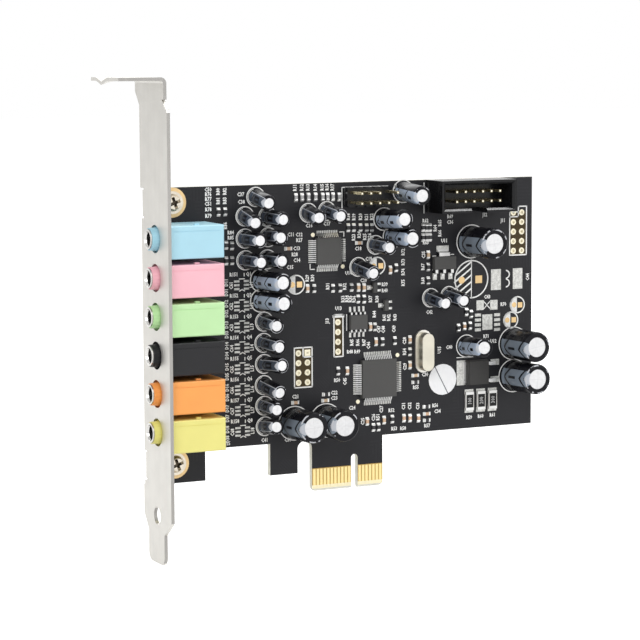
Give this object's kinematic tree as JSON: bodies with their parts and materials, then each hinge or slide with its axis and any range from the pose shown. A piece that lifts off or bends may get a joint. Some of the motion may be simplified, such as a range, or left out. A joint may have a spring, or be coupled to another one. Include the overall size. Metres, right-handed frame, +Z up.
{
  "type": "sound card",
  "caption": "Internal computer sound card: black circuit board with an edge connector, a folded steel bracket, a column of coloured audio jacks, capacitors, chips and headers.",
  "frame": {"origin": "middle of the key notch, on the bottom edge of the edge connector, in the board's middle plane", "axes": "+X along the board away from the bracket, -Y out of the component side, +Z up out of the slot"},
  "size_m": [0.1214, 0.0212, 0.12],
  "materials": {
    "board": "black solder mask over a glass fibre board, satin",
    "gold": "gold plate, smooth",
    "bracket_steel": "zinc plated sheet steel, satin",
    "screw_steel": "nickel plated steel, bright",
    "blue_plastic": "moulded, fine satin",
    "pink_plastic": "moulded, fine satin",
    "green_plastic": "moulded, fine satin",
    "black_plastic": "moulded, fine satin",
    "orange_plastic": "moulded, fine satin",
    "yellow_plastic": "moulded, fine satin",
    "bush_nickel": "nickel plated, turned",
    "spring_metal": "tinned spring bronze",
    "capacitor_sleeve": "shrunk sleeve, semi-gloss",
    "chip_epoxy": "moulded epoxy, matt",
    "tin": "tin plate, satin",
    "crystal_steel": "nickel plated pressed steel",
    "resistor_body": "glazed black ceramic",
    "header_plastic": "moulded, satin",
    "pin_plating": "thin gold plate",
    "paper": "matt paper"
  },
  "bodies": {
    "root": {"circuit_board": "board", "edge_contacts_front": "gold", "edge_contacts_back": "gold", "bracket": "bracket_steel", "bracket_screws": "screw_steel", "small_capacitors": "capacitor_sleeve", "medium_capacitors": "capacitor_sleeve", "large_capacitors": "capacitor_sleeve", "codec_chip": "chip_epoxy", "codec_leads": "tin", "controller_chip": "chip_epoxy", "controller_leads": "tin", "amplifier_chip": "chip_epoxy", "amplifier_leads": "tin", "regulator_body": "chip_epoxy", "regulator_leads": "tin", "power_regulator_body": "chip_epoxy", "power_regulator_leads": "tin", "crystal_base": "crystal_steel", "crystal_can": "crystal_steel", "power_resistors": "resistor_body", "power_resistor_ends": "tin", "header_shroud": "header_plastic", "header_pins": "pin_plating", "pin_strip_base": "header_plastic", "pin_strip_pins": "pin_plating", "paper_sticker": "paper", "blue_jack_housing": "blue_plastic", "blue_jack_bush": "bush_nickel", "blue_jack_springs": "spring_metal", "pink_jack_housing": "pink_plastic", "pink_jack_bush": "bush_nickel", "pink_jack_springs": "spring_metal", "green_jack_housing": "green_plastic", "green_jack_bush": "bush_nickel", "green_jack_springs": "spring_metal", "black_jack_housing": "black_plastic", "black_jack_bush": "bush_nickel", "black_jack_springs": "spring_metal", "orange_jack_housing": "orange_plastic", "orange_jack_bush": "bush_nickel", "orange_jack_springs": "spring_metal", "yellow_jack_housing": "yellow_plastic", "yellow_jack_bush": "bush_nickel", "yellow_jack_springs": "spring_metal"}
  },
  "joints": []
}
